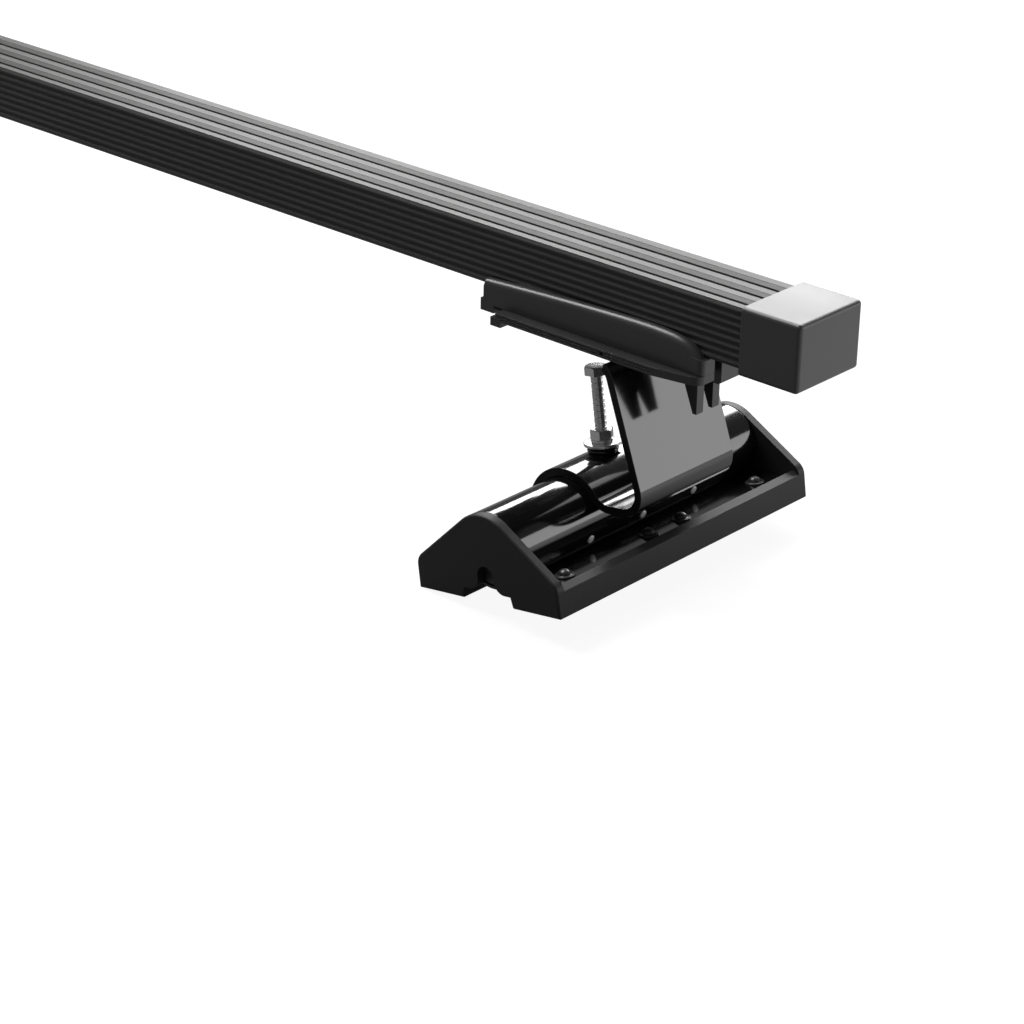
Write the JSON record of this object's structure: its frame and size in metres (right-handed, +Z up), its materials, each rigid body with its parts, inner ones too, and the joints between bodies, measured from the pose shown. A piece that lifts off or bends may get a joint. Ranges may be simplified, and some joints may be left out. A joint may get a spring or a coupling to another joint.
{
  "type": "roof rack crossbar",
  "caption": "Roof rack crossbar: a ribbed rectangular bar on sliding clamps, each with a bent bracket that swivels on a tube in a broad rubber foot pad.",
  "frame": {"origin": "under the middle of the bar, at the level of the lowest edges of the foot pads", "axes": "+X along the bar, +Y along the car, +Z up"},
  "size_m": [1.206, 0.1846, 0.1555],
  "materials": {
    "black_steel": "satin",
    "gloss_steel": "gloss",
    "black_rail": "satin",
    "black_rivet": "gloss",
    "sleeve_plastic": "satin",
    "cap_plastic": "matte",
    "clamp_plastic": "satin",
    "pad_rubber": "matte",
    "zinc": "bright zinc"
  },
  "bodies": {
    "bar": {"bar_core": "black_steel", "bar_sleeve": "sleeve_plastic", "end_cap_right": "cap_plastic", "end_cap_left": "cap_plastic"},
    "clamp_right": {"saddle_right": "clamp_plastic", "rail_right": "black_rail", "bracket_right": "gloss_steel", "slide_nut_right": "zinc", "rail_bolts_right": "zinc", "rail_washers_right": "zinc"},
    "foot_right": {"foot_pad_right": "pad_rubber", "swivel_tube_right": "gloss_steel", "tube_pins_right": "zinc", "tube_plugs_right": "clamp_plastic", "outer_strip_right": "gloss_steel", "inner_strip_right": "gloss_steel", "outer_rivets_right": "black_rivet", "inner_rivets_right": "black_rivet", "anchor_nut_right": "zinc", "swivel_bolt_right": "zinc", "saddle_washer_right": "zinc", "wide_washer_right": "zinc", "spring_washer_right": "zinc", "lock_nut_right": "zinc"},
    "clamp_left": {"saddle_left": "clamp_plastic", "rail_left": "black_rail", "bracket_left": "gloss_steel", "slide_nut_left": "zinc", "rail_bolts_left": "zinc", "rail_washers_left": "zinc"},
    "foot_left": {"foot_pad_left": "pad_rubber", "swivel_tube_left": "gloss_steel", "tube_pins_left": "zinc", "tube_plugs_left": "clamp_plastic", "outer_strip_left": "gloss_steel", "inner_strip_left": "gloss_steel", "outer_rivets_left": "black_rivet", "inner_rivets_left": "black_rivet", "anchor_nut_left": "zinc", "swivel_bolt_left": "zinc", "saddle_washer_left": "zinc", "wide_washer_left": "zinc", "spring_washer_left": "zinc", "lock_nut_left": "zinc"}
  },
  "joints": [
    {"name": "clamp_slide_right", "type": "slide", "parent": "bar", "child": "clamp_right", "axis": [1, 0, 0], "range_m": [-0.2, 0.015]},
    {"name": "foot_tilt_right", "type": "hinge", "parent": "clamp_right", "child": "foot_right", "pos_m": [0.484, 0, 0.03046], "axis": [0, 1, 0], "range_deg": [-10, 10]},
    {"name": "clamp_slide_left", "type": "slide", "parent": "bar", "child": "clamp_left", "axis": [-1, 0, 0], "range_m": [-0.2, 0.015]},
    {"name": "foot_tilt_left", "type": "hinge", "parent": "clamp_left", "child": "foot_left", "pos_m": [-0.484, 0, 0.03046], "axis": [0, -1, 0], "range_deg": [-10, 10]}
  ]
}
